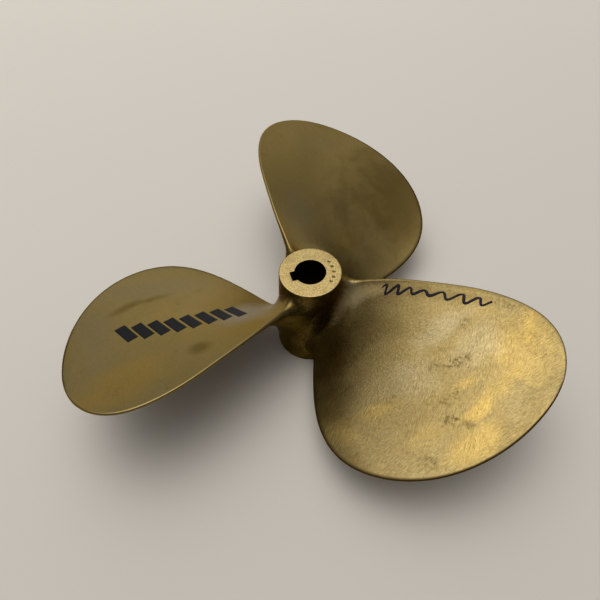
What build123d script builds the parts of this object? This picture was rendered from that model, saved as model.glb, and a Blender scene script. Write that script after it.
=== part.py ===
from build123d import *
import math
import os

# ---------------------------------------------------------------------------
# Three-bladed right-hand boat propeller, one bronze casting, 14 x 10 inch.
#
# Frame: +Z is the hub axis and points aft (towards the shaft nut). The origin
# is the centre of the hub's forward face, the larger end, on which the
# propeller stands. +X is the reference line of blade_1. Millimetres.
#
# The casting is modelled as the four pieces its pattern is drawn as: the hub,
# and three equal blades that meet it face to face on its tapered barrel.
# ---------------------------------------------------------------------------

# overall
tip_radius = 177.8            # 14 inch diameter
pitch = 254.0                 # 10 inch pitch, right hand
blade_angles = {"blade_1": 0.0, "blade_2": 120.0, "blade_3": 240.0}

# hub barrel
hub_length = 78.0
hub_r_fwd = 25.6              # outer radius at the forward face (z = 0)
hub_r_aft = 22.4              # outer radius at the aft face
rim_chamfer = 0.8

# shaft taper 1:10 on the diameter, for a 30 mm shaft
bore_d_fwd = 30.0
bore_taper = 1.0 / 10.0
bore_d_aft = bore_d_fwd - hub_length * bore_taper
mouth_chamfer = 0.6

# keyway, parallel to the taper
key_width = 8.0
key_depth = 3.0               # below the bore wall
key_angle = -132.4            # azimuth of its centre line

# blade reference surface (the aft, pressure face)
ref_height = 56.45            # height of the reference line at the hub
ref_radius = 25.0
rake_1 = 0.172                # aft rake, mm per mm of radius
rake_2 = -3.461               # its curvature, mm at 100 mm from ref_radius
droop = 8.15                  # the trailing half bends forward at the root
droop_length = 28.9
edge_r = 1.2                  # radius of the rounded edges
edge_te_root = 2.74           # extra radius of the trailing edge at the root
edge_le_root = 0.92
edge_decay = 15.0
root_thickness = 12.5         # greatest thickness at ref_radius
tip_thickness = 3.0
flare_r = 8.0                 # root fillet
flare_cut = 0.93              # below 1: the fillet stops short of tangency
root_fill = 14.0              # distance over which the root section fills out

# centre line of the rounded edge, seen along the axis: control points of a
# clamped cubic B-spline, from the trailing root round the tip to the leading
# root
outline = [
    (0.14, -3.16), (41.37, 20.58), (78.98, 31.74), (112.10, 41.34),
    (140.81, 42.67), (158.94, 37.19), (173.13, 23.44), (179.65, -4.06),
    (164.21, -51.51), (129.73, -88.27), (85.94, -99.26), (53.07, -83.60),
    (33.05, -53.93), (16.12, -22.18),
]


# ---------------------------------------------------------------------------
# blade shape
# ---------------------------------------------------------------------------
def bspline_point(ctrl, t):
    """point at t in 0..1 on a clamped uniform cubic B-spline"""
    n, k = len(ctrl), 3
    spans = n - k
    knots = [0.0] * k + [i / spans for i in range(spans + 1)] + [1.0] * k
    t = min(max(t, 0.0), 1.0 - 1e-12)
    i = k + int(t * spans)
    pts = [list(ctrl[j]) for j in range(i - k, i + 1)]
    for r in range(1, k + 1):
        for j in range(k, r - 1, -1):
            lo = knots[i - k + j]
            hi = knots[i + 1 + j - r]
            a = (t - lo) / (hi - lo)
            for c in (0, 1):
                pts[j][c] = (1 - a) * pts[j - 1][c] + a * pts[j][c]
    return pts[k]


def smooth(x):
    x = min(max(x, 0.0), 1.0)
    return x * x * (3 - 2 * x)


def steepness(r):
    """length along the helix for one unit round the axis"""
    return math.hypot(1, pitch / (2 * math.pi * r))


def edge_radii(r):
    e = math.exp(-(max(r, 20.0) - ref_radius) / edge_decay)
    return edge_r + edge_le_root * e, edge_r + edge_te_root * e


# the blade's true outline: the edge's centre line moved out by its radius
line_pts = [bspline_point(outline, i / 4000) for i in range(4001)]
i_mid = max(range(len(line_pts)), key=lambda i: math.hypot(*line_pts[i]))
rim_pts = []
for i, (x, y) in enumerate(line_pts):
    (xa, ya), (xb, yb) = line_pts[max(i - 1, 0)], line_pts[min(i + 1, len(line_pts) - 1)]
    tx, ty = xb - xa, yb - ya
    k = math.hypot(tx, ty)
    r = math.hypot(x, y)
    rho = edge_radii(r)[1 if i < i_mid else 0] / steepness(max(r, 15.0))
    rim_pts.append((x - ty / k * rho, y + tx / k * rho))
grow = tip_radius / max(math.hypot(*p) for p in rim_pts)
rim_pts = [(x * grow, y * grow) for x, y in rim_pts]
rim_r = [math.hypot(*p) for p in rim_pts]
i_tip = max(range(len(rim_r)), key=lambda i: rim_r[i])


def edge_angles(r):
    """azimuths of the centres of the leading and trailing edges at radius r"""
    out = []
    for step in (-1, 1):
        i = i_tip
        while 0 <= i + step < len(rim_r) and rim_r[i + step] > r:
            i += step
        j = min(max(i + step, 0), len(rim_r) - 1)
        f = (rim_r[i] - r) / (rim_r[i] - rim_r[j]) if rim_r[i] != rim_r[j] else 0.0
        x = rim_pts[i][0] + f * (rim_pts[j][0] - rim_pts[i][0])
        y = rim_pts[i][1] + f * (rim_pts[j][1] - rim_pts[i][1])
        out.append(math.atan2(y, x))
    te, le = out
    rho_le, rho_te = edge_radii(r)
    inset_le = rho_le / steepness(r) / r
    inset_te = rho_te / steepness(r) / r
    return le + inset_le, te - inset_te


def face_z(r, th):
    """height of the pressure face"""
    q = max(r, 20.0) - ref_radius
    z = pitch * th / (2 * math.pi) + rake_1 * q + rake_2 * (q / 100) ** 2
    return ref_height + z - droop * math.exp(-q / droop_length) * smooth((th + 0.8) / 1.1)


def thickness(r):
    q = min(max((r - ref_radius) / (tip_radius - ref_radius), 0.0), 1.0)
    return root_thickness + (tip_thickness - root_thickness) * q ** 0.9


def flare(d):
    """how far the section grows outwards at distance d from the barrel"""
    if d >= flare_r:
        return 0.0
    if d >= 0:
        return flare_r * (1 - math.sqrt(1 - flare_cut * (1 - d / flare_r) ** 2))
    return flare_r * (1 - math.sqrt(1 - flare_cut)) - 0.4 * d


N_FACE = 15      # points along each face of a section
def section(r_of_z, d, thin=1.0):
    """
    One closed section, d from the barrel: pressure points, trailing arc
    points, suction points, leading arc points, as (x, y, z). r_of_z gives the
    radius that goes with a height, so a section near the hub follows its
    taper.
    """
    grow = flare(d)
    r0 = r_of_z(ref_height)
    le, te = edge_angles(r0)
    rho_le, rho_te = edge_radii(r0)
    rho_le, rho_te = rho_le * thin, rho_te * thin
    t_max = max(thickness(r0) * thin, rho_le + rho_te)
    # towards the barrel the section fills out to an even thickness
    fill = max(0.0, 1 - max(d, 0.0) / root_fill) ** 2
    more_le = max(t_max / 2 - rho_le, 0.0) * fill
    more_te = max(t_max / 2 - rho_te, 0.0) * fill
    rho_le, rho_te = rho_le + more_le, rho_te + more_te
    le += more_le / steepness(r0) / r0
    te -= more_te / steepness(r0) / r0

    def frame_at(th):
        # unrolled plane: s = r * theta across, z up
        z = face_z(r0, th)
        dz = (face_z(r0, th + 1e-4) - face_z(r0, th - 1e-4)) / (2e-4 * r0)
        k = math.hypot(1, dz)
        return r0 * th, z, (-dz / k, 1 / k), (1 / k, dz / k)

    def to_xyz(s, z):
        r = r_of_z(z)
        th = s / r0
        return (r * math.cos(th), r * math.sin(th), z)

    pressure, suction = [], []
    for i in range(N_FACE):
        eta = 0.5 - 0.5 * math.cos(math.pi * i / (N_FACE - 1))
        s, z, n, e = frame_at(le + (te - le) * eta)
        rho = rho_le + (rho_te - rho_le) * eta
        bump = 1 - abs(2 * eta ** 0.94 - 1) ** 2.1
        t = 2 * rho + (t_max - rho_le - rho_te) * bump
        pressure.append(to_xyz(s + n[0] * grow, z + n[1] * grow))
        suction.append(to_xyz(s - n[0] * (t + grow), z - n[1] * (t + grow)))

    def arc(th, rho, side):
        s, z, n, e = frame_at(th)
        cs, cz = s - n[0] * rho, z - n[1] * rho
        pts = []
        for i in range(5):
            a = math.pi / 2 - math.pi * i / 4
            q = rho + grow
            pts.append(to_xyz(cs + q * (math.sin(a) * n[0] + side * math.cos(a) * e[0]),
                              cz + q * (math.sin(a) * n[1] + side * math.cos(a) * e[1])))
        return pts

    return pressure, arc(te, rho_te, 1), suction[::-1], arc(le, rho_le, -1)[::-1]


def section_wire(parts, flatten_x=None, pull=None):
    """four edges with the same parameters in every section"""
    with BuildLine() as ring:
        for pts in parts:
            pts = [Vector(*p) for p in pts]
            if pull:
                mid_y, mid_z, ky, kz = pull
                pts = [Vector(p.X, mid_y + ky * (p.Y - mid_y), mid_z + kz * (p.Z - mid_z)) for p in pts]
            if flatten_x is not None:
                pts = [Vector(flatten_x, p.Y, p.Z) for p in pts]
            n = len(pts) - 1
            if n == 4:
                par = [i / n for i in range(n + 1)]
            else:
                par = [0.5 - 0.5 * math.cos(math.pi * i / n) for i in range(n + 1)]
            add(Edge.make_spline(pts, parameters=par))
    return ring.line.wires()[0]


def barrel_radius(z):
    return hub_r_fwd + (hub_r_aft - hub_r_fwd) * z / hub_length


def start_oval():
    """plane section near the axis, inside the hub, where the loft begins"""
    def part(a0, a1, n):
        pts = []
        for i in range(n):
            a = math.radians(a0 + (a1 - a0) * i / (n - 1))
            u, w = 19.0 * math.cos(a), 6.5 * math.sin(a)
            pts.append((9.0, -3.0 + 0.54 * u - 0.84 * w, 41.0 + 0.84 * u + 0.54 * w))
        return pts
    return part(150, 30, N_FACE), part(30, -30, 5), part(-30, -150, N_FACE), part(-150, -210, 5)


def wires():
    out = []
    # inside the hub: one plane oval, then sections that follow the barrel
    out.append(section_wire(start_oval()))
    steps = [-3.0, -1.2, 0.0, 0.7, 1.6, 2.8, 4.3, 6.0, 8.0, 10.5, 14.0, 19.0]
    for d in steps:
        out.append(section_wire(section(lambda z, d=d: barrel_radius(z) + d, d)))
    # the blade proper: cylindrical sections, closer together towards the tip
    start = barrel_radius(ref_height) + 19.0
    n = 22
    for i in range(1, n):
        r = start + (tip_radius - start) * (1 - (1 - i / n) ** 2)
        q = min((tip_radius - r) / edge_r, 1.0)
        out.append(section_wire(section(lambda z, r=r: r, 99.0, thin=math.sqrt(1 - (1 - q) ** 2))))
    # the rounded tip ends in a small flat
    last = section(lambda z: tip_radius - 0.15, 99.0, thin=0.45)
    mid_y = sum(p[1] for p in last[0]) / len(last[0])
    mid_z = sum(p[2] for p in last[0] + last[2]) / (2 * len(last[0]))
    out.append(section_wire(last, flatten_x=tip_radius, pull=(mid_y, mid_z, 0.7, 0.9)))
    return out


# ---------------------------------------------------------------------------
# hub
# ---------------------------------------------------------------------------
with BuildPart() as hub:
    with BuildSketch(Plane.XZ) as hub_profile:
        with BuildLine():
            Polyline(
                (bore_d_fwd / 2, 0), (hub_r_fwd, 0), (hub_r_aft, hub_length),
                (bore_d_aft / 2, hub_length), close=True,
            )
        make_face()
    revolve(axis=Axis.Z)

    # keyway: its floor follows the bore's taper
    key_plane = Plane(origin=(0, 0, 0), x_dir=(math.cos(math.radians(key_angle)), math.sin(math.radians(key_angle)), 0),
                      z_dir=(math.sin(math.radians(key_angle)), -math.cos(math.radians(key_angle)), 0))
    with BuildSketch(key_plane) as key_profile:
        with BuildLine():
            Polyline(
                (0, -1), (bore_d_fwd / 2 + key_depth + bore_taper / 2, -1),
                (bore_d_aft / 2 + key_depth - bore_taper / 2, hub_length + 1), (0, hub_length + 1), close=True,
            )
        make_face()
    extrude(amount=key_width / 2, both=True, mode=Mode.SUBTRACT)

    # broken edges of the two faces
    rims = hub.edges().filter_by(GeomType.CIRCLE).filter_by(lambda e: e.radius > 20)
    chamfer(rims, rim_chamfer)
hub.part.label = "hub"

# ---------------------------------------------------------------------------
# blades
# ---------------------------------------------------------------------------
blade_body = Solid.make_loft(wires())
print("blade loft valid", blade_body.is_valid, "volume", round(blade_body.volume))

blades = {}
for name, angle in blade_angles.items():
    with BuildPart() as blade:
        add(blade_body.rotate(Axis.Z, angle))
        # the barrel, carried past both faces, is cut away
        with BuildSketch(Plane.XZ):
            with BuildLine():
                dr = (hub_r_fwd - hub_r_aft) / hub_length * 10
                Polyline((0, -10), (hub_r_fwd + dr, -10), (hub_r_aft - dr, hub_length + 10), (0, hub_length + 10), close=True)
            make_face()
        revolve(axis=Axis.Z, mode=Mode.SUBTRACT)
    blade.part.label = name
    blades[name] = blade

os.makedirs("parts", exist_ok=True)
export_step(hub.part, "parts/hub.step")
for name, blade in blades.items():
    export_step(blade.part, f"parts/{name}.step")
    box = blade.part.bounding_box()
    print(name, "solids", len(blade.part.solids()), "volume", round(blade.part.volume),
          "box", [round(v, 1) for v in (*box.min, *box.max)])
print("hub volume", round(hub.part.volume), "valid", hub.part.is_valid)
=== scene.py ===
import math

import bpy
import numpy as np
from mathutils import Matrix, Vector, noise


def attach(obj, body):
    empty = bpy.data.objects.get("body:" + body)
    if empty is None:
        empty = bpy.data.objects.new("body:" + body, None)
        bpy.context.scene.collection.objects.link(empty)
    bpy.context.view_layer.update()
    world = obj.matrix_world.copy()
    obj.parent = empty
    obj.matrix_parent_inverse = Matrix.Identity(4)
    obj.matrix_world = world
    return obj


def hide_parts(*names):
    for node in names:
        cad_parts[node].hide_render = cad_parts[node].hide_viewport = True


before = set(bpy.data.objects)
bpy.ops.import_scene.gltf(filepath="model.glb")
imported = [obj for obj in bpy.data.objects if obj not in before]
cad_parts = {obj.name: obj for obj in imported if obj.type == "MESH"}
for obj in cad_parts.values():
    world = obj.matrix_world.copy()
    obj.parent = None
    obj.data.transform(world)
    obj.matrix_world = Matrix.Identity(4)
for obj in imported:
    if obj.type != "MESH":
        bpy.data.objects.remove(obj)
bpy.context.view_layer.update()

MM = 0.001

# ---------------------------------------------------------------------------
# sizes, in millimetres, the same as the CAD's
# ---------------------------------------------------------------------------
TIP_R = 177.8
PITCH = 254.0
HUB_L, HUB_R0, HUB_R1 = 78.0, 25.6, 22.4
RIM = 0.8
BORE_R0, BORE_R1 = 15.0, 11.1
KEY_W, KEY_D, KEY_AZ = 8.0, 3.0, math.radians(-132.4)
REF_Z, REF_R = 56.45, 25.0
RAKE1, RAKE2 = 0.172, -3.461
DROOP, DROOP_L = 8.15, 28.9
EDGE_R, EDGE_TE, EDGE_LE, EDGE_L = 1.2, 2.74, 0.92, 15.0
T_ROOT, T_TIP = 12.5, 3.0
FLARE, FLARE_D = 8.0, 15.0
FILL = 14.0
ANGLES = {"blade_1": 0.0, "blade_2": math.radians(120), "blade_3": math.radians(240)}
CTRL = np.array([
    (0.14, -3.16), (41.37, 20.58), (78.98, 31.74), (112.10, 41.34),
    (140.81, 42.67), (158.94, 37.19), (173.13, 23.44), (179.65, -4.06),
    (164.21, -51.51), (129.73, -88.27), (85.94, -99.26), (53.07, -83.60),
    (33.05, -53.93), (16.12, -22.18)])


def smooth(x):
    x = np.clip(x, 0.0, 1.0)
    return x * x * (3 - 2 * x)


# ---------------------------------------------------------------------------
# blade shape
# ---------------------------------------------------------------------------
def bspline(ctrl, t):
    n, k = len(ctrl), 3
    spans = n - k
    knots = np.concatenate([[0.0] * k, np.arange(spans + 1) / spans, [1.0] * k])
    t = np.clip(t, 0, 1 - 1e-12)
    i = k + (t * spans).astype(int)
    pts = [ctrl[i - k + j].astype(float) for j in range(k + 1)]
    for r in range(1, k + 1):
        for j in range(k, r - 1, -1):
            lo, hi = knots[i - k + j], knots[i + 1 + j - r]
            a = ((t - lo) / (hi - lo))[:, None]
            pts[j] = (1 - a) * pts[j - 1] + a * pts[j]
    return pts[k]


def steep(r):
    return np.hypot(1, PITCH / (2 * np.pi * np.maximum(r, 15.0)))


def edge_radii(r):
    e = np.exp(-(np.maximum(r, 20.0) - REF_R) / EDGE_L)
    return EDGE_R + EDGE_LE * e, EDGE_R + EDGE_TE * e


line = bspline(CTRL, np.linspace(0, 1, 8001))
tang = np.gradient(line, axis=0)
tang /= np.linalg.norm(tang, axis=1)[:, None]
rad = np.hypot(*line.T)
mid = int(rad.argmax())
rho = np.where(np.arange(len(line)) < mid, edge_radii(rad)[1], edge_radii(rad)[0]) / steep(rad)
rim = line + np.c_[-tang[:, 1], tang[:, 0]] * rho[:, None]
rim *= TIP_R / np.hypot(*rim.T).max()
rim_r = np.hypot(*rim.T)
rim_th = np.arctan2(rim[:, 1], rim[:, 0])
tip = int(rim_r.argmax())
TIP_TH = rim_th[tip]
# how obliquely a circle about the axis crosses the edge
d_r, d_t = np.gradient(rim_r), rim_r * np.gradient(rim_th) * steep(rim_r)
cross = np.abs(d_r) / np.hypot(d_r, d_t)


def on_rim(r, side):
    """azimuth and crossing cosine of the outline at radius r; side +1 trailing, -1 leading"""
    if side > 0:
        s = slice(0, tip + 1)
        rr, tt, cc = rim_r[s], rim_th[s], cross[s]
    else:
        s = slice(tip, None)
        rr, tt, cc = rim_r[s][::-1], rim_th[s][::-1], cross[s][::-1]
    k = np.maximum.accumulate(rr)
    return np.interp(r, k, tt), np.interp(r, k, cc)


def face_z(r, th):
    q = np.maximum(r, 20.0) - REF_R
    z = PITCH * th / (2 * np.pi) + RAKE1 * q + RAKE2 * (q / 100) ** 2
    return REF_Z + z - DROOP * np.exp(-q / DROOP_L) * smooth((th + 0.8) / 1.1)


def thickness(r):
    q = np.clip((r - REF_R) / (TIP_R - REF_R), 0, 1)
    return T_ROOT + (T_TIP - T_ROOT) * q ** 0.9


def barrel(z):
    return HUB_R0 + (HUB_R1 - HUB_R0) * z / HUB_L


def face_frame(r0, th):
    z = face_z(r0, th)
    dz = (face_z(r0, th + 1e-4) - face_z(r0, th - 1e-4)) / (2e-4 * r0)
    k = np.hypot(1, dz)
    return np.stack([r0 * th, z], -1), np.stack([-dz / k, 1 / k], -1), np.stack([1 / k, dz / k], -1)


N_FACE, N_ARC = 73, 19


def ring(r0, d, grow):
    """one closed section: (s, z) in the unrolled plane, plus what part of the blade each point is on"""
    th_te, c_te = on_rim(r0, 1)
    th_le, c_le = on_rim(r0, -1)
    rho_le, rho_te = edge_radii(r0)
    gap = TIP_R - r0
    q = min(gap / EDGE_R, 1.0)
    thin = math.sqrt(max(1 - (1 - q) ** 2, 0.0))
    drop = EDGE_R * (1 - thin)
    rho_le, rho_te = rho_le * thin, rho_te * thin
    t_max = max(float(thickness(r0)) * thin, rho_le + rho_te)
    fill = max(0.0, 1 - max(d, 0.0) / FILL) ** 2
    more_le, more_te = max(t_max / 2 - rho_le, 0) * fill, max(t_max / 2 - rho_te, 0) * fill
    st = float(steep(r0))
    chord = (th_te - th_le) * r0 * st
    # a circle about the axis meets the edge obliquely near the tip, so its rounding is longer there
    w_le, w_te = rho_le / max(c_le, 0.05), rho_te / max(c_te, 0.05)
    k = min(1.0, 0.499 * chord / max(w_le, w_te, 1e-9)) if chord > 0 else 0.0
    w_le, w_te = w_le * k, w_te * k
    # extra thickness grows inwards from the edge
    a = th_le + w_le / st / r0 + more_le / st / r0
    b = th_te - w_te / st / r0 - more_te / st / r0
    rho_le, rho_te, w_le, w_te = rho_le + more_le, rho_te + more_te, w_le + more_le, w_te + more_te
    eta = 0.5 - 0.5 * np.cos(np.pi * np.linspace(0, 1, N_FACE))
    p, n, e = face_frame(r0, a + (b - a) * eta)
    p = p - n * drop
    rh = rho_le + (rho_te - rho_le) * eta
    bump = 1 - np.abs(2 * eta ** 0.94 - 1) ** 2.1
    t = 2 * rh + (t_max - rho_le - rho_te) * bump
    # a broad cove where the pressure face runs up to the hub beside the trailing edge
    cove = 2.6 * max(0.0, 1 - max(d, 0.0) / 24) ** 2
    top = p + n * (grow * (1 + 0.2 * smooth((eta - 0.3) / 0.5)) + cove * smooth((eta - 0.3) / 0.35) * (1 - smooth((eta - 0.7) / 0.3)))[:, None]
    low = p - n * (t + grow)[:, None]

    # the trailing edge keeps a crisper corner on its pressure side close to the hub
    square = 2 + 1.8 * math.exp(-max(d, 0.0) / 20)

    def arc(i, rho_, w_, side):
        ang = np.linspace(math.pi / 2, -math.pi / 2, N_ARC)[1:-1]
        c = p[i] - n[i] * rho_
        up, out = np.sin(ang), np.cos(ang)
        if side > 0:
            up, out = np.sign(up) * np.abs(up) ** (2 / square), out ** (2 / square)
        more = grow * (1.2 if side > 0 else 1.0)
        return c + np.outer(up * (rho_ + np.where(up > 0, more, grow)), n[i]) + side * np.outer(out * (w_ + min(more, 9.2)), e[i])

    te, le = arc(-1, rho_te, w_te, 1), arc(0, rho_le, w_le, -1)[::-1]
    sz = np.concatenate([top, te, low[::-1], le])
    # 0 pressure face, 1 suction face; distance-like edge mask
    side = np.concatenate([np.zeros(N_FACE), np.linspace(0, 1, N_ARC)[1:-1], np.ones(N_FACE), np.linspace(1, 0, N_ARC)[1:-1]])
    near = np.minimum(eta * chord, (1 - eta) * chord)
    near = np.minimum(near, math.sqrt(max(gap, 0.0) * 1.0) * 4.0) if gap < 12 else near
    near = np.minimum(near, gap)
    edge = np.concatenate([near, np.zeros(N_ARC - 2), near[::-1], np.zeros(N_ARC - 2)])
    te = np.concatenate([eta, np.ones(N_ARC - 2), eta[::-1], np.zeros(N_ARC - 2)])
    return sz, side, edge, te


def unroll_back(sz, r0, d):
    """(s, z) -> x, y, z; near the hub the ring follows the barrel's taper"""
    h = float(smooth(1 - (d - 8) / 34))
    r = r0 + (barrel(sz[:, 1]) - barrel(REF_Z)) * h
    th = sz[:, 0] / r0
    return np.c_[r * np.cos(th), r * np.sin(th), sz[:, 1]]


def make_mesh(name, verts, faces, material, attrs=None, sharp=None):
    me = bpy.data.meshes.new(name)
    me.from_pydata([tuple(v) for v in np.asarray(verts) * MM], [], faces)
    me.validate()
    me.update()
    me.shade_smooth()
    if sharp is not None:
        me.set_sharp_from_angle(angle=sharp)
    for key, val in (attrs or {}).items():
        val = np.asarray(val, float)
        if val.ndim == 1:
            at = me.attributes.new(key, 'FLOAT', 'POINT')
            at.data.foreach_set("value", val.astype(np.float32))
        else:
            at = me.attributes.new(key, 'FLOAT_VECTOR', 'POINT')
            at.data.foreach_set("vector", val.astype(np.float32).ravel())
    ob = bpy.data.objects.new(name, me)
    bpy.context.scene.collection.objects.link(ob)
    me.materials.append(material)
    return ob


def wobble(x, y, z, scale, seed):
    return noise.noise(Vector((x * scale + seed, y * scale - seed, z * scale + 2 * seed)))


def build_blade(name, material, seed):
    r_ref = float(barrel(REF_Z))
    rings = []
    n_f = 24
    for i in range(n_f + 1):
        b = (math.pi / 2) * i / n_f
        rings.append((FLARE_D * (1 - math.cos(b)), FLARE * (1 - math.sin(b))))
    n = 120
    start = r_ref + FLARE_D
    for i in range(1, n):
        u = i / n
        rings.append((start + (TIP_R - start) * (1 - (1 - u) ** 1.6) - r_ref, 0.0))
    verts, side, edge, root, span, te = [], [], [], [], [], []
    for d, grow in rings:
        r0 = r_ref + d
        sz, sd, ed, et = ring(r0, d, grow)
        te.append(et)
        verts.append(unroll_back(sz, r0, d))
        side.append(sd)
        edge.append(ed)
        root.append(np.full(len(sd), d))
        span.append(np.c_[np.full(len(sd), r0), sz[:, 0], sd])
    m = len(side[0])
    count = len(rings)
    zt = float(face_z(TIP_R, TIP_TH)) - EDGE_R
    verts = np.vstack(verts + [[[TIP_R * math.cos(TIP_TH), TIP_R * math.sin(TIP_TH), zt]]])
    side = np.concatenate(side + [[0.5]])
    edge = np.concatenate(edge + [[0.0]])
    te = np.concatenate(te + [[0.3]])
    root = np.concatenate(root + [[TIP_R - r_ref]])
    span = np.vstack(span + [[[TIP_R, TIP_R * TIP_TH, 0.5]]])
    # hand-ground unevenness, fading out at the barrel and at the edges
    fade = np.clip((root - 4) / 20, 0, 1) * np.clip(edge / 6, 0, 1)
    dz = np.array([0.30 * wobble(*v, 0.022, seed) + 0.10 * wobble(*v, 0.055, seed + 3) for v in verts]) * fade
    verts[:, 2] += dz * np.where(side < 0.5, 1, -1)
    # keep it inside the tip circle
    rr = np.hypot(verts[:, 0], verts[:, 1])
    k = np.minimum(1.0, TIP_R / np.maximum(rr, 1e-6))
    verts[:, 0] *= k
    verts[:, 1] *= k
    faces = []
    for i in range(count - 1):
        for j in range(m):
            j2 = (j + 1) % m
            faces.append((i * m + j, (i + 1) * m + j, (i + 1) * m + j2, i * m + j2))
    last = (count - 1) * m
    for j in range(m):
        faces.append((last + j, len(verts) - 1, last + (j + 1) % m))
    # the foot, closed against the barrel a hair inside it
    foot = verts[:m].copy()
    rr = np.hypot(foot[:, 0], foot[:, 1])
    foot[:, 0] *= (rr - 0.4) / rr
    foot[:, 1] *= (rr - 0.4) / rr
    base = len(verts)
    centre = foot.mean(0)
    centre[:2] *= (float(barrel(centre[2])) - 1.5) / np.hypot(*centre[:2])
    verts = np.vstack([verts, foot, centre[None]])
    side = np.concatenate([side, side[:m], [0.5]])
    edge = np.concatenate([edge, edge[:m], [10.0]])
    te = np.concatenate([te, te[:m], [0.5]])
    root = np.concatenate([root, np.zeros(m + 1)])
    span = np.vstack([span, span[:m], span[:1]])
    for j in range(m):
        j2 = (j + 1) % m
        faces.append((base + j, j, j2, base + j2))
        faces.append((base + m, base + j, base + j2))
    local = verts.copy()
    a = ANGLES[name]
    c, s = math.cos(a), math.sin(a)
    verts = np.c_[c * verts[:, 0] - s * verts[:, 1], s * verts[:, 0] + c * verts[:, 1], verts[:, 2]]
    ob = make_mesh(name + "_cast", verts, faces, material,
                   {"edge": edge, "root": root, "te": te, "face_side": side, "local": local * MM})
    ob.data.flip_normals() if signed_volume(verts, faces) < 0 else None
    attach(ob, "root")
    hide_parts(name)
    return ob


def signed_volume(verts, faces):
    v = np.asarray(verts)
    total = 0.0
    for f in faces[::7]:
        a, b, c = v[f[0]], v[f[1]], v[f[2]]
        total += np.dot(a, np.cross(b, c))
    return total


# ---------------------------------------------------------------------------
# hub
# ---------------------------------------------------------------------------
def bore_r(z):
    return BORE_R0 + (BORE_R1 - BORE_R0) * z / HUB_L


def bore_loop(z, open_by=0.0):
    """angles and radii of the bore with its keyway at height z; open_by widens the mouth chamfer"""
    rb = bore_r(min(max(z, 0), HUB_L)) + open_by
    half = KEY_W / 2 + open_by
    floor = bore_r(min(max(z, 0), HUB_L)) + KEY_D + open_by
    a1 = math.asin(half / rb)
    a2 = math.atan(half / floor)
    ang, r = [], []
    n_floor, n_side, n_arc = 16, 6, 460
    for i in range(n_floor + 1):                       # floor, from -a2 to a2
        y = -half + 2 * half * i / n_floor
        ang.append(math.atan2(y, floor))
        r.append(math.hypot(y, floor))
    x1, x2 = floor, math.sqrt(rb * rb - half * half)   # side wall, back to the bore
    for i in range(1, n_side + 1):
        x = x1 + (x2 - x1) * i / n_side
        ang.append(math.atan2(half, x))
        r.append(math.hypot(half, x))
    for i in range(1, n_arc):
        ang.append(a1 + (2 * math.pi - 2 * a1) * i / n_arc)
        r.append(rb)
    for i in range(n_side):
        x = x2 + (x1 - x2) * i / n_side
        ang.append(2 * math.pi + math.atan2(-half, x))
        r.append(math.hypot(half, x))
    return np.array(ang), np.array(r)


PUNCHES = [(16.6, 66), (16.4, 49), (16.7, 32), (16.9, 16), (16.7, 1)]


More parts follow.
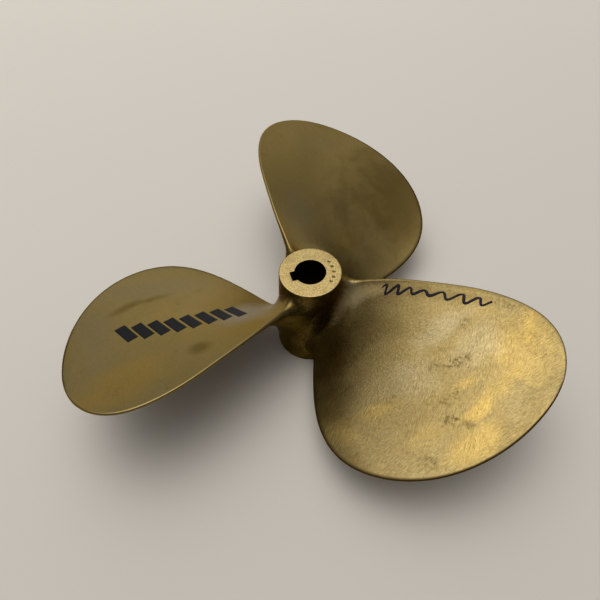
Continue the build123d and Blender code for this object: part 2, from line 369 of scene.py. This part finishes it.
def build_hub(material):
    top_ang, _ = bore_loop(HUB_L)
    rows, zone = [], []

    def add_row(ang, r, z, zn):
        a = ang + KEY_AZ
        rows.append(np.c_[r * np.cos(a), r * np.sin(a), np.full(len(a), z) if np.isscalar(z) else z])
        zone.append(np.full(len(a), zn, float))

    ch = 0.45
    for z in np.linspace(ch, HUB_L - ch, 40):          # bore wall
        ang, r = bore_loop(z)
        add_row(ang, r, z, 0)
    for i in range(1, 5):                              # mouth, broken edge
        b = (math.pi / 2) * i / 4
        ang, r = bore_loop(HUB_L, ch * (1 - math.cos(b)))
        add_row(ang, r, HUB_L - ch + ch * math.sin(b), 0.4 if i < 3 else 1)
    ang_in, r_in = bore_loop(HUB_L, ch)
    full = np.linspace(0, 2 * math.pi, len(ang_in), endpoint=False)
    ang_out = top_ang                                   # same angles on the outside
    r_out = HUB_R1 - RIM
    n_face = 48
    for i in range(1, n_face + 1):                     # turned aft face
        u = i / n_face
        add_row(ang_in + (ang_out - ang_in) * u, r_in + (r_out - r_in) * u, HUB_L, 1)
    slope = math.atan((HUB_R0 - HUB_R1) / HUB_L)
    for i in range(1, 8):                              # rounded rim
        b = (math.pi / 2) * i / 7
        add_row(ang_out, HUB_R1 - RIM + RIM * math.sin(b), HUB_L - RIM + RIM * math.cos(b), 1 if i < 4 else 2)
    for z in np.linspace(HUB_L - RIM, RIM, 60)[1:]:    # barrel
        add_row(ang_out, float(barrel(z)), z, 2)
    for i in range(1, 8):
        b = (math.pi / 2) * i / 7
        add_row(ang_out, HUB_R0 - RIM + RIM * math.cos(b), RIM - RIM * math.sin(b), 2)
    ang_b, r_b = bore_loop(0, ch)
    for i in range(1, 17):                             # forward face
        u = i / 16
        add_row(ang_out + (ang_b - ang_out) * u, (HUB_R0 - RIM) + (r_b - (HUB_R0 - RIM)) * u, 0.0, 3)
    for i in range(1, 4):
        b = (math.pi / 2) * i / 4
        ang, r = bore_loop(0, ch * (1 - math.sin(b)))
        add_row(ang, r, ch - ch * math.cos(b), 0.4)
    m, count = len(rows[0]), len(rows)
    verts = np.vstack(rows)
    zone = np.concatenate(zone)
    # small round punch marks on the aft face
    face = (zone == 1) & (verts[:, 2] > HUB_L - 0.01)
    pit = np.zeros(len(verts))
    for pr, pa in PUNCHES:
        a = math.radians(pa)
        dist = np.hypot(verts[:, 0] - pr * math.cos(a), verts[:, 1] - pr * math.sin(a))
        dip = np.where(face, np.clip(1 - (dist / 1.3) ** 2, 0, 1), 0)
        verts[:, 2] -= 0.5 * dip ** 0.8
        pit = np.maximum(pit, dip)
    faces = []
    for i in range(count):
        i2 = (i + 1) % count
        for j in range(m):
            j2 = (j + 1) % m
            faces.append((i * m + j, i2 * m + j, i2 * m + j2, i * m + j2))
    ob = make_mesh("hub_turned", verts, faces, material, {"zone": zone, "pit": pit}, sharp=math.radians(42))
    if signed_volume(verts, faces) < 0:
        ob.data.flip_normals()
    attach(ob, "root")
    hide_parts("hub")
    return ob


# ---------------------------------------------------------------------------
# materials
# ---------------------------------------------------------------------------
class Net:
    """short hand for building a node tree"""

    def __init__(self, mat):
        self.t = mat.node_tree
        self.n = self.t.nodes
        self.n.clear()

    def new(self, kind, **props):
        node = self.n.new(kind)
        for k, v in props.items():
            setattr(node, k, v)
        return node

    def link(self, a, b):
        self.t.links.new(a, b)

    def attr(self, name):
        return self.new("ShaderNodeAttribute", attribute_name=name)

    def noise(self, vec, scale, detail=4.0, rough=0.55, distort=0.0, dims='3D'):
        nd = self.new("ShaderNodeTexNoise", noise_dimensions=dims)
        nd.inputs["Scale"].default_value = scale
        nd.inputs["Detail"].default_value = detail
        nd.inputs["Roughness"].default_value = rough
        nd.inputs["Distortion"].default_value = distort
        self.link(vec, nd.inputs["Vector"])
        return nd.outputs["Fac"]

    def scaled(self, vec, scale, rot=(0, 0, 0), loc=(0, 0, 0)):
        mp = self.new("ShaderNodeMapping")
        mp.inputs["Scale"].default_value = scale
        mp.inputs["Rotation"].default_value = rot
        mp.inputs["Location"].default_value = loc
        self.link(vec, mp.inputs["Vector"])
        return mp.outputs["Vector"]

    def brushed(self, vec, angle, along, scale, detail=3.0, rough=0.65):
        """noise drawn out along a direction in the blade's planform"""
        turned = self.scaled(vec, (1, 1, 1), rot=(0, 0, -math.radians(angle)))
        return self.noise(self.scaled(turned, (along, 1.0, 1.0)), scale, detail, rough)

    def spot(self, vec, centre, size, angle, ragged, ragged_by, lo=0.55, hi=1.25):
        """soft patch round a planform place, in millimetres, with a ragged border"""
        mp = self.new("ShaderNodeMapping", vector_type='TEXTURE')
        mp.inputs["Location"].default_value = (centre[0] * MM, centre[1] * MM, 0)
        mp.inputs["Rotation"].default_value = (0, 0, math.radians(angle))
        mp.inputs["Scale"].default_value = (size[0] * MM, size[1] * MM, 1000.0)
        self.link(vec, mp.inputs["Vector"])
        ln = self.new("ShaderNodeVectorMath", operation='LENGTH')
        self.link(mp.outputs["Vector"], ln.inputs[0])
        off = self.math('MULTIPLY', self.math('SUBTRACT', ragged, 0.5), ragged_by)
        return self.ramp(self.math('MULTIPLY', self.math('ADD', ln.outputs["Value"], off), 0.5),
                         [(lo / 2, 1.0), (hi / 2, 0.0)])

    def ramp(self, fac, stops, interp='EASE'):
        rp = self.new("ShaderNodeValToRGB")
        cr = rp.color_ramp
        cr.interpolation = interp
        while len(cr.elements) > 1:
            cr.elements.remove(cr.elements[-1])
        cr.elements[0].position = stops[0][0]
        c = stops[0][1]
        cr.elements[0].color = (c, c, c, 1) if isinstance(c, (int, float)) else (*c, 1)
        for pos, c in stops[1:]:
            el = cr.elements.new(pos)
            el.color = (c, c, c, 1) if isinstance(c, (int, float)) else (*c, 1)
        self.link(fac, rp.inputs["Fac"])
        return rp.outputs["Color"]

    def math(self, op, a, b=None, clamp=False):
        nd = self.new("ShaderNodeMath", operation=op, use_clamp=clamp)
        for sock, v in zip(nd.inputs, (a, b)):
            if v is None:
                continue
            if isinstance(v, (int, float)):
                sock.default_value = v
            else:
                self.link(v, sock)
        return nd.outputs[0]

    def mix(self, fac, a, b, blend='MIX'):
        nd = self.new("ShaderNodeMix", data_type='RGBA', blend_type=blend)
        nd.clamp_factor = True
        for sock, v in ((nd.inputs[0], fac), (nd.inputs[6], a), (nd.inputs[7], b)):
            if isinstance(v, (int, float)):
                sock.default_value = v
            elif isinstance(v, tuple):
                sock.default_value = (*v, 1)
            else:
                self.link(v, sock)
        return nd.outputs[2]

    def bump(self, height, strength, distance, normal=None):
        nd = self.new("ShaderNodeBump")
        nd.inputs["Strength"].default_value = strength
        nd.inputs["Distance"].default_value = distance
        self.link(height, nd.inputs["Height"])
        if normal is not None:
            self.link(normal, nd.inputs["Normal"])
        return nd.outputs["Normal"]


def srgb(r, g, b):
    def f(c):
        c /= 255
        return c / 12.92 if c <= 0.04045 else ((c + 0.055) / 1.055) ** 2.4
    return (f(r), f(g), f(b))


def new_material(name):
    mat = bpy.data.materials.new(name)
    mat.use_nodes = True
    return mat, Net(mat)


def finish_bsdf(net, color, rough, normal, metallic=0.97, specular=0.5):
    bs = net.new("ShaderNodeBsdfPrincipled")
    out = net.new("ShaderNodeOutputMaterial")
    bs.inputs["Metallic"].default_value = metallic
    if metallic > 0.5:
        bs.inputs["Specular Tint"].default_value = (1.0, 0.80, 0.46, 1)
    else:
        bs.inputs["Specular IOR Level"].default_value = specular
    net.link(color, bs.inputs["Base Color"])
    if isinstance(rough, float):
        bs.inputs["Roughness"].default_value = rough
    else:
        net.link(rough, bs.inputs["Roughness"])
    if normal is not None:
        net.link(normal, bs.inputs["Normal"])
    net.link(bs.outputs[0], out.inputs["Surface"])
    return bs


def cast_skin(net, where):
    """dark as-cast bronze of the barrel and the blade roots"""
    mott = net.noise(where, 75.0, 5.0, 0.6)
    grit = net.noise(where, 620.0, 4.0, 0.7)
    skin = net.mix(net.ramp(mott, [(0.36, 0.0), (0.64, 1.0)]), (0.072, 0.047, 0.010), (0.150, 0.101, 0.024))
    skin = net.mix(net.math('MULTIPLY', net.ramp(grit, [(0.50, 0.0), (0.66, 1.0)]), 0.55), skin, (0.29, 0.205, 0.062))
    skin = net.mix(net.math('MULTIPLY', net.ramp(grit, [(0.34, 1.0), (0.48, 0.0)]), 0.5), skin, (0.030, 0.020, 0.006))
    return skin, grit


def blade_material(name, base, grey, stain, golds, greys, darks, stains, highlights_and_scuffs, grain_angle, grain_amount, rough_lo, rough_hi, edge_te, deepen=0.0):
    mat, net = new_material(name)
    local = net.attr("local").outputs["Vector"]
    where = net.new("ShaderNodeTexCoord").outputs["Object"]
    edge = net.attr("edge").outputs["Fac"]
    root = net.attr("root").outputs["Fac"]
    te = net.attr("te").outputs["Fac"]
    side = net.attr("face_side").outputs["Fac"]
    big = net.noise(local, 22.0, 4.0, 0.55, 0.5)
    med = net.noise(net.scaled(local, (1, 1, 1), loc=(3.1, 1.7, 0)), 60.0, 5.0, 0.6, 0.4)
    mid = net.noise(net.scaled(local, (1, 1, 1), loc=(0.4, 5.3, 0)), 360.0, 6.0, 0.72)
    fine = net.noise(local, 1050.0, 3.0, 0.8)
    # broad tarnish with soft borders
    col = net.mix(net.math('MULTIPLY', net.ramp(big, [(0.38, 0.0), (0.64, 1.0)]), 0.55), base, grey)
    front = net.ramp(side, [(0.25, 1.0), (0.75, 0.0)])
    for colour, centre, size, angle, power in golds + greys:
        m = net.math('MULTIPLY', net.spot(local, centre, size, angle, med, 1.3, 0.35, 1.35), front)
        col = net.mix(net.math('MULTIPLY', m, power), col, colour)
    # dark areas
    for centre, size, angle, power in darks:
        m = net.math('MULTIPLY', net.spot(local, centre, size, angle, med, 0.8, 0.2, 1.3), front)
        col = net.mix(net.math('MULTIPLY', m, power), col, (0.060, 0.038, 0.008))
    # sanding marks, two directions crossing, and a fine tooth
    g1 = net.brushed(local, grain_angle, 0.09, 1250.0, 4.0, 0.75)
    g2 = net.brushed(local, grain_angle + 38, 0.13, 1050.0, 4.0, 0.75)
    pick = net.ramp(net.noise(local, 34.0, 2.0, 0.5), [(0.42, 0.0), (0.58, 1.0)])
    g = net.mix(pick, g1, g2)
    light = net.ramp(g, [(0.50, 0.0), (0.70, 1.0)], 'LINEAR')
    dark = net.ramp(g, [(0.30, 1.0), (0.50, 0.0)], 'LINEAR')
    tooth = net.ramp(fine, [(0.34, 0.0), (0.66, 1.0)], 'LINEAR')
    col = net.mix(net.math('MULTIPLY', light, grain_amount), col, (1.55, 1.55, 1.55), 'MULTIPLY')
    col = net.mix(net.math('MULTIPLY', dark, grain_amount), col, (0.52, 0.49, 0.43), 'MULTIPLY')
    col = net.mix(net.math('MULTIPLY', tooth, grain_amount * 0.6), col, (1.5, 1.5, 1.5), 'MULTIPLY')
    col = net.mix(grain_amount * 0.4, col, (0.74, 0.73, 0.71), 'MULTIPLY')
    # brown stains in small clusters
    blot = net.ramp(mid, [(0.42, 0.0), (0.62, 1.0)])
    total = None
    for centre, size, angle, power in stains:
        m = net.math('MULTIPLY', net.math('MULTIPLY', net.spot(local, centre, size, angle, med, 1.2, 0.2, 1.4), front), power)
        total = m if total is None else net.math('MAXIMUM', total, m)
    loose = net.math('MULTIPLY', net.ramp(med, [(0.60, 0.0), (0.74, 1.0)]), 0.45)
    total = loose if total is None else net.math('MAXIMUM', total, loose)
    st = net.math('MULTIPLY', total, blot)
    speck = net.math('MULTIPLY', net.ramp(net.noise(local, 520.0, 3.0, 0.6), [(0.655, 0.0), (0.72, 1.0)]), 0.3 + 0.5 * grain_amount)
    st = net.math('MAXIMUM', st, speck)
    col = net.mix(st, col, stain)
    # dark line round the edge: painted dark reflection on the edge rounding, partly unpolished metal
    rim_dark_reflection_and_unpolished = net.ramp(net.math('MULTIPLY', edge, 0.4), [(0.0, 1.0), (0.35, 0.6), (1.0, 0.0)])
    keep = net.ramp(te, [(0.35, 1.0), (0.75, edge_te)])
    col = net.mix(net.math('MULTIPLY', net.math('MULTIPLY', rim_dark_reflection_and_unpolished, keep), 0.85), col, (0.050, 0.032, 0.008))
    # as-cast skin comes up out of the root
    skin, grit = cast_skin(net, where)
    reach = net.math('ADD', net.math('MULTIPLY', root, 1.0 / 48.0), net.math('MULTIPLY', net.math('SUBTRACT', med, 0.5), 0.5))
    rise = net.ramp(reach, [(0.05, 1.0), (0.30, 0.62), (0.95, 0.0)])
    # the skin is held back from the pressure face beside the trailing edge near the hub, so it shows bright there:
    # ground metal, with a painted highlight on the fillet
    ground = net.math('MULTIPLY', net.ramp(te, [(0.55, 0.0), (0.85, 1.0)]), net.ramp(side, [(0.05, 1.0), (0.55, 0.0)]))
    rise = net.math('MULTIPLY', rise, net.math('SUBTRACT', 1.0, net.math('MULTIPLY', ground, net.ramp(net.math('MULTIPLY', root, 0.1), [(0.0, 0.25), (0.25, 0.85)]))))
    col = net.mix(rise, col, skin)
    if deepen:
        # the root towards the leading edge is darker still
        deep = net.math('MULTIPLY', net.ramp(net.math('MULTIPLY', root, 1.0 / 60.0), [(0.0, 1.0), (1.0, 0.0)]),
                        net.ramp(te, [(0.30, 1.0), (0.66, 0.0)]))
        col = net.mix(net.math('MULTIPLY', deep, deepen), col, (0.030, 0.018, 0.003))
    # light patches over the skin near the roots: on blade_1 a painted highlight on the trailing-edge fillet, on blade_3
    # a painted grey sheen on the root face, rubbed metal elsewhere
    for colour, centre, size, angle, power in highlights_and_scuffs:
        m = net.spot(local, centre, size, angle, mid, 1.4, 0.2, 1.5)
        m = net.math('MULTIPLY', m, net.ramp(side, [(0.1, 1.0), (0.6, 0.0)]))
        col = net.mix(net.math('MULTIPLY', m, power), col, colour)
    rough = net.math('ADD', net.math('MULTIPLY', med, rough_hi - rough_lo), rough_lo)
    rough = net.math('ADD', rough, net.math('MULTIPLY', st, 0.10))
    h = net.math('ADD', net.math('MULTIPLY', g, 0.7), net.math('MULTIPLY', fine, 0.5))
    n1 = net.bump(h, min(0.55 * grain_amount + 0.06, 0.5), 0.0004)
    n2 = net.bump(net.math('MULTIPLY', grit, rise), 0.30, 0.0006, n1)
    finish_bsdf(net, col, rough, n2)
    return mat


def hub_material():
    mat, net = new_material("bronze_hub")
    zone = net.attr("zone").outputs["Fac"]
    pit = net.attr("pit").outputs["Fac"]
    where = net.new("ShaderNodeTexCoord").outputs["Object"]
    sand = net.noise(where, 820.0, 4.0, 0.75)
    mott = net.noise(where, 120.0, 4.0, 0.55)
    face = net.mix(net.ramp(sand, [(0.32, 0.0), (0.66, 1.0)], 'LINEAR'), (0.205, 0.145, 0.050), (0.60, 0.455, 0.195))
    face = net.mix(net.math('MULTIPLY', net.ramp(mott, [(0.48, 0.0), (0.68, 1.0)]), 0.35), face, (0.235, 0.165, 0.056))
    face = net.mix(net.math('MULTIPLY', pit, 0.85), face, (0.030, 0.020, 0.006))
    skin, grit = cast_skin(net, where)
    # painted shade: the bore wall is coloured near black, standing in for the shade inside the bore
    bore = net.mix(net.ramp(mott, [(0.35, 0.0), (0.65, 1.0)]), (0.020, 0.015, 0.008), (0.045, 0.032, 0.015))
    # zones: 0 bore, 1 aft face, 2 barrel, 3 forward face
    z01 = net.ramp(zone, [(0.35, 0.0), (0.6, 1.0)], 'LINEAR')
    z12 = net.ramp(net.math('SUBTRACT', zone, 1.0), [(0.2, 0.0), (0.8, 1.0)], 'LINEAR')
    z23 = net.ramp(net.math('SUBTRACT', zone, 2.0), [(0.2, 0.0), (0.8, 1.0)], 'LINEAR')
    col = net.mix(z01, bore, face)
    col = net.mix(z12, col, skin)
    col = net.mix(z23, col, face)
    rough = net.math('ADD', net.math('MULTIPLY', mott, 0.14), 0.33)
    h = net.math('ADD', net.math('MULTIPLY', sand, 0.7), net.math('MULTIPLY', grit, 0.5))
    finish_bsdf(net, col, rough, net.bump(h, 0.35, 0.0006))
    return mat


def floor_material():
    mat, net = new_material("pale_floor")
    tc = net.new("ShaderNodeTexCoord").outputs["Object"]
    f = net.noise(tc, 3.0, 3.0, 0.5)
    g = net.noise(tc, 700.0, 3.0, 0.6)
    # painted light falloff: the floor colour darkens towards +x and -y, standing in for the light falling off there
    sep = net.new("ShaderNodeSeparateXYZ")
    net.link(tc, sep.inputs[0])
    slope = net.math('ADD', net.math('MULTIPLY', sep.outputs["X"], 0.62), net.math('MULTIPLY', sep.outputs["Y"], -0.32))
    slope = net.math('ADD', net.math('MULTIPLY', slope, 1.0), 0.5)
    col = net.mix(net.ramp(slope, [(0.0, 0.0), (1.0, 1.0)], 'LINEAR'), (0.730, 0.682, 0.606), (0.500, 0.462, 0.414))
    col = net.mix(net.math('MULTIPLY', net.ramp(f, [(0.35, 0.0), (0.65, 1.0)]), 0.06), col, (0.55, 0.52, 0.47))
    finish_bsdf(net, col, 0.8, net.bump(g, 0.04, 0.0002), metallic=0.0)
    return mat


def ink_material(name, a, b, rough):
    mat, net = new_material(name)
    tc = net.new("ShaderNodeTexCoord").outputs["Object"]
    f = net.noise(tc, 500.0, 4.0, 0.6)
    col = net.mix(net.ramp(f, [(0.4, 0.0), (0.66, 1.0)]), a, b)
    finish_bsdf(net, col, rough, net.bump(f, 0.1, 0.00005), metallic=0.0, specular=0.12)
    return mat


# ---------------------------------------------------------------------------
# thin markings that lie on a blade's pressure face
# ---------------------------------------------------------------------------
def surface_points(x, y, lift):
    """points on the pressure face above planform places x, y, in the blade's own frame"""
    r, th = np.hypot(x, y), np.arctan2(y, x)
    z = face_z(r, th)
    e = 0.05
    zx = (face_z(np.hypot(x + e, y), np.arctan2(y, x + e)) - face_z(np.hypot(x - e, y), np.arctan2(y, x - e))) / (2 * e)
    zy = (face_z(np.hypot(x, y + e), np.arctan2(y + e, x)) - face_z(np.hypot(x, y - e), np.arctan2(y - e, x))) / (2 * e)
    n = np.stack([-zx, -zy, np.ones_like(zx)], -1)
    n /= np.linalg.norm(n, axis=-1)[..., None]
    return np.stack([x, y, z], -1) + n * np.asarray(lift)[..., None]


def ground_offset(pts, seed):
    return np.array([0.30 * wobble(*v, 0.022, seed) + 0.10 * wobble(*v, 0.055, seed + 3) for v in pts])


def strip(name, blade, seed, material, path, widths, thick=0.06, step=0.6):
    """a thin closed ribbon along a planform path, lying on the face"""
    path = np.asarray(path, float)
    seg = np.r_[0, np.cumsum(np.linalg.norm(np.diff(path, axis=0), axis=1))]
    n = max(int(seg[-1] / step), 8)
    s = np.linspace(0, seg[-1], n)
    c = np.c_[np.interp(s, seg, path[:, 0]), np.interp(s, seg, path[:, 1])]
    w = np.interp(s, seg, widths) / 2
    t = np.gradient(c, axis=0)
    t /= np.linalg.norm(t, axis=1)[:, None]
    nv = np.c_[-t[:, 1], t[:, 0]]
    cols = max(int(2 * w.max() / 0.8), 4) + 1
    k = np.linspace(-1, 1, cols)
    x = c[:, 0][:, None] + nv[:, 0][:, None] * w[:, None] * k
    y = c[:, 1][:, None] + nv[:, 1][:, None] * w[:, None] * k
    up = np.full(x.shape, thick)
    up[:, 0] = up[:, -1] = 0.0
    up[0, :] = up[-1, :] = 0.0
    top = surface_points(x, y, up + 0.01).reshape(-1, 3)
    low = surface_points(x, y, np.full(x.shape, -0.05)).reshape(-1, 3)
    g = ground_offset(top, seed)
    top[:, 2] += g
    low[:, 2] += g
    verts = np.vstack([top, low])
    N = n * cols
    faces = []
    for i in range(n - 1):
        for j in range(cols - 1):
            a, b, c2, d = i * cols + j, (i + 1) * cols + j, (i + 1) * cols + j + 1, i * cols + j + 1
            faces.append((a, b, c2, d))
            faces.append((N + a, N + d, N + c2, N + b))
    rim_idx = [i * cols for i in range(n)] + [(n - 1) * cols + j for j in range(1, cols)] + \
        [i * cols + cols - 1 for i in range(n - 2, -1, -1)] + [j for j in range(cols - 2, 0, -1)]
    for a, b in zip(rim_idx, rim_idx[1:] + rim_idx[:1]):
        faces.append((a, N + a, N + b, b))
    ang = ANGLES[blade]
    cs, sn = math.cos(ang), math.sin(ang)
    verts = np.c_[cs * verts[:, 0] - sn * verts[:, 1], sn * verts[:, 0] + cs * verts[:, 1], verts[:, 2]]
    ob = make_mesh(name, verts, faces, material)
    import bmesh
    bm = bmesh.new()
    bm.from_mesh(ob.data)
    bmesh.ops.recalc_face_normals(bm, faces=bm.faces)
    bm.to_mesh(ob.data)
    bm.free()
    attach(ob, "root")
    return ob


# ---------------------------------------------------------------------------
# build
# ---------------------------------------------------------------------------
SEEDS = {"blade_1": 1.0, "blade_2": 2.3, "blade_3": 3.7}
GOLD = (0.40, 0.268, 0.070)
PALE = (0.270, 0.215, 0.112)
mat_1 = blade_material(
    "bronze_blade_1", (0.225, 0.164, 0.062), (0.255, 0.196, 0.088), (0.080, 0.052, 0.015),
    golds=[(GOLD, (150, 16), (20, 26), 0, 0.40), (GOLD, (139.5, -34.5), (11, 4.5), 55, 0.55), (GOLD, (146, -55), (22, 9), 60, 0.42),
           (GOLD, (82, -56), (18, 5), 40, 0.36), (GOLD, (145, -16), (17, 6), 65, 0.40), (GOLD, (68, -77), (12, 9), 0, 0.30),
           (GOLD, (126, -21), (9, 3.5), 50, 0.28), (GOLD, (148, 28), (13, 5), 100, 0.32), (GOLD, (118, -62), (14, 8), 60, 0.16)],
    greys=[(PALE, (98, 8), (20, 9), 55, 0.75), (PALE, (121, 5), (13, 20), -20, 0.55), (PALE, (95, -30), (22, 14), 40, 0.45)],
    darks=[((50, -62), (24, 30), 20, 0.76), ((58, -5), (22, 10), 10, 0.35), ((86, 27), (40, 5), 15, 0.30), ((74, -92), (34, 12), -20, 0.55),
           ((36, -34), (16, 26), 10, 0.80)],
    stains=[((115.5, -9.5), (10.5, 4.0), 47, 0.95), ((108.4, 15.4), (5, 3.5), 60, 0.75), ((104, -17), (5, 4), 20, 0.6), ((122.6, -28.4), (6, 4.5), 0, 0.65),
            ((128, -45), (7, 5), 0, 0.75), ((138.6, -43.7), (4.5, 3.5), 0, 0.55), ((132, 37), (17, 4.5), 0, 0.55), ((55, -15), (7, 3.5), 40, 0.8),
            ((126, -74), (7, 5), 0, 0.5), ((119, -36), (5, 4), 0, 0.5)],
    # these root patches are a painted highlight on the trailing-edge fillet
    highlights_and_scuffs=[((0.62, 0.47, 0.21), (37, 11.5), (14, 4), 24, 0.9), ((0.60, 0.48, 0.25), (32, 8), (7, 6), 0, 0.75), ((0.58, 0.45, 0.22), (27, 1), (4, 10), -12, 0.75)],
    grain_angle=59, grain_amount=0.80, rough_lo=0.32, rough_hi=0.46, edge_te=0.45, deepen=0.75)
mat_2 = blade_material(
    "bronze_blade_2", (0.232, 0.166, 0.056), (0.222, 0.163, 0.066), (0.075, 0.050, 0.014),
    golds=[((0.25, 0.182, 0.062), (140, 20), (36, 16), -10, 0.45), ((0.30, 0.205, 0.056), (60, -30), (15, 9), -30, 0.55)],
    greys=[((0.205, 0.165, 0.090), (70, 10), (26, 14), 0, 0.45)],
    darks=[((108, -80), (70, 56), -30, 0.76), ((100, -40), (40, 22), 0, 0.10)],
    stains=[((139, -3), (3, 3), 0, 0.5)],
    highlights_and_scuffs=[((0.40, 0.30, 0.125), (34, -6), (15, 10), 0, 0.62)],
    grain_angle=20, grain_amount=0.16, rough_lo=0.30, rough_hi=0.42, edge_te=0.0)
mat_3 = blade_material(
    "bronze_blade_3", (0.215, 0.158, 0.058), (0.225, 0.170, 0.078), (0.095, 0.065, 0.022),
    golds=[((0.275, 0.180, 0.046), (146, 19), (34, 17), 10, 0.75), ((0.25, 0.172, 0.052), (112, -30), (30, 16), 0, 0.35)],
    greys=[((0.190, 0.152, 0.085), (95, -68), (40, 14), -10, 0.55), ((0.185, 0.150, 0.088), (150, -45), (16, 24), 0, 0.4)],
    darks=[((92, 15), (9, 7), 0, 0.55), ((124, -55), (14, 4), 20, 0.45), ((104, -57), (16, 3.5), 5, 0.4)],
    stains=[((106, -57), (3, 3), 0, 0.7), ((150, 20), (10, 8), 0, 0.25)],
    # this root patch is a painted grey sheen on the root face
    highlights_and_scuffs=[((0.25, 0.248, 0.242), (42, -10), (27, 15), 10, 0.95)],
    grain_angle=70, grain_amount=0.18, rough_lo=0.30, rough_hi=0.42, edge_te=0.0)
blade_1 = build_blade("blade_1", mat_1, SEEDS["blade_1"])
blade_2 = build_blade("blade_2", mat_2, SEEDS["blade_2"])
blade_3 = build_blade("blade_3", mat_3, SEEDS["blade_3"])
hub = build_hub(hub_material())

vinyl = ink_material("black_vinyl", (0.0035, 0.0035, 0.004), (0.007, 0.007, 0.008), 0.55)
marker = ink_material("marker_ink", (0.006, 0.004, 0.009), (0.02, 0.013, 0.024), 0.5)
# plain slanted blocks where the real one carries a decal, and plain strokes where it is written on
BAR = np.array([(136.0, -28.0), (93.5, -18.4), (49.0, -14.6)])
bar_seg = np.r_[0, np.cumsum(np.linalg.norm(np.diff(BAR, axis=0), axis=1))]
blocks = 8
for i in range(blocks):
    mid_s = bar_seg[-1] * (i + 0.5) / blocks
    c = np.array([np.interp(mid_s, bar_seg, BAR[:, 0]), np.interp(mid_s, bar_seg, BAR[:, 1])])
    half = np.array([-2.6, 8.4])
    strip(f"plain_block_mark_{i + 1}", "blade_3", SEEDS["blade_3"], vinyl, [c - half, c + half], [8.2, 8.2], 0.08)
u = np.linspace(0, 1, 220)
lean = 47.5 + 71.5 * u
wave_y = 16.2 + 17.6 * u + 1.2 * np.sin(3.1 * u)
swing = (2.4 + 0.8 * np.sin(9.0 * u + 1.0)) * np.sin(2 * math.pi * (7.5 * u + 0.35 * np.sin(5 * u)))
wave = np.c_[lean + 0.28 * swing, wave_y + swing]
pen = 1.85 + 0.35 * np.sin(31 * u) * np.cos(13 * u)
strip("plain_marker_wave", "blade_1", SEEDS["blade_1"], marker, wave, pen, 0.03, step=0.35)

# ---------------------------------------------------------------------------
# floor, light, camera
# ---------------------------------------------------------------------------
fm = bpy.data.meshes.new("floor")
fm.from_pydata([(-4, -4, 0), (4, -4, 0), (4, 4, 0), (-4, 4, 0)], [], [(0, 1, 2, 3)])
fm.update()
floor = bpy.data.objects.new("floor", fm)
bpy.context.scene.collection.objects.link(floor)
fm.materials.append(floor_material())


# soft studio surround: a few broad bright patches, given by azimuth, elevation, tightness and brightness
PATCHES = [(0, 90, 14.0, 2.095), (120, 72, 14.0, 1.459), (180, 72, 14.0, 2.081), (240, 72, 14.0, 0.313),
           (135, 25, 9.0, 0.424), (60, 3, 9.0, 0.761), (120, 3, 9.0, 0.851), (243, 28, 9.0, 0.15)]
world = bpy.data.worlds.new("studio")
bpy.context.scene.world = world
world.use_nodes = True
wt = world.node_tree
wt.nodes.clear()
wo = wt.nodes.new("ShaderNodeOutputWorld")
bg = wt.nodes.new("ShaderNodeBackground")
tc = wt.nodes.new("ShaderNodeTexCoord")
unit = wt.nodes.new("ShaderNodeVectorMath")
unit.operation = 'NORMALIZE'
wt.links.new(tc.outputs["Generated"], unit.inputs[0])


def wmath(op, a, b=0.0):
    nd = wt.nodes.new("ShaderNodeMath")
    nd.operation = op
    for sock, v in zip(nd.inputs, (a, b)):
        if isinstance(v, (int, float)):
            sock.default_value = v
        else:
            wt.links.new(v, sock)
    return nd.outputs[0]


total = None
for az, el, tight, power in PATCHES:
    a, e = math.radians(az), math.radians(el)
    dot = wt.nodes.new("ShaderNodeVectorMath")
    dot.operation = 'DOT_PRODUCT'
    wt.links.new(unit.outputs[0], dot.inputs[0])
    dot.inputs[1].default_value = (math.cos(a) * math.cos(e), math.sin(a) * math.cos(e), math.sin(e))
    lobe = wmath('MULTIPLY', wmath('EXPONENT', wmath('MULTIPLY', wmath('SUBTRACT', dot.outputs["Value"], 1.0), tight)), power)
    total = lobe if total is None else wmath('ADD', total, lobe)
wt.links.new(wmath('ADD', total, 0.045), bg.inputs["Strength"])
bg.inputs["Color"].default_value = (1.0, 0.995, 0.985, 1)
plain = wt.nodes.new("ShaderNodeBackground")
plain.inputs["Color"].default_value = (0.62, 0.575, 0.515, 1)
rays = wt.nodes.new("ShaderNodeLightPath")
pick = wt.nodes.new("ShaderNodeMixShader")
wt.links.new(rays.outputs["Is Camera Ray"], pick.inputs[0])
wt.links.new(bg.outputs[0], pick.inputs[1])
wt.links.new(plain.outputs[0], pick.inputs[2])
wt.links.new(pick.outputs[0], wo.inputs["Surface"])
bpy.context.scene.view_settings.view_transform = 'Standard'

cam_data = bpy.data.cameras.new("camera")
cam = bpy.data.objects.new("camera", cam_data)
bpy.context.scene.collection.objects.link(cam)
cam_data.sensor_fit = 'HORIZONTAL'
cam_data.sensor_width = 36.0
cam_data.lens = 565.45 / 600.0 * 36.0
right = Vector((0.860564, 0.509081, -0.0163))
down = Vector((0.400393, -0.695923, -0.596134))
fwd = Vector((-0.314824, 0.506486, -0.802719))
rot = Matrix((right, -down, -fwd)).transposed()
cam.matrix_world = Matrix.Translation(Vector((127.348, -219.657, 386.576)) * MM) @ rot.to_4x4()
cam_data.clip_start = 0.01
bpy.context.scene.camera = cam
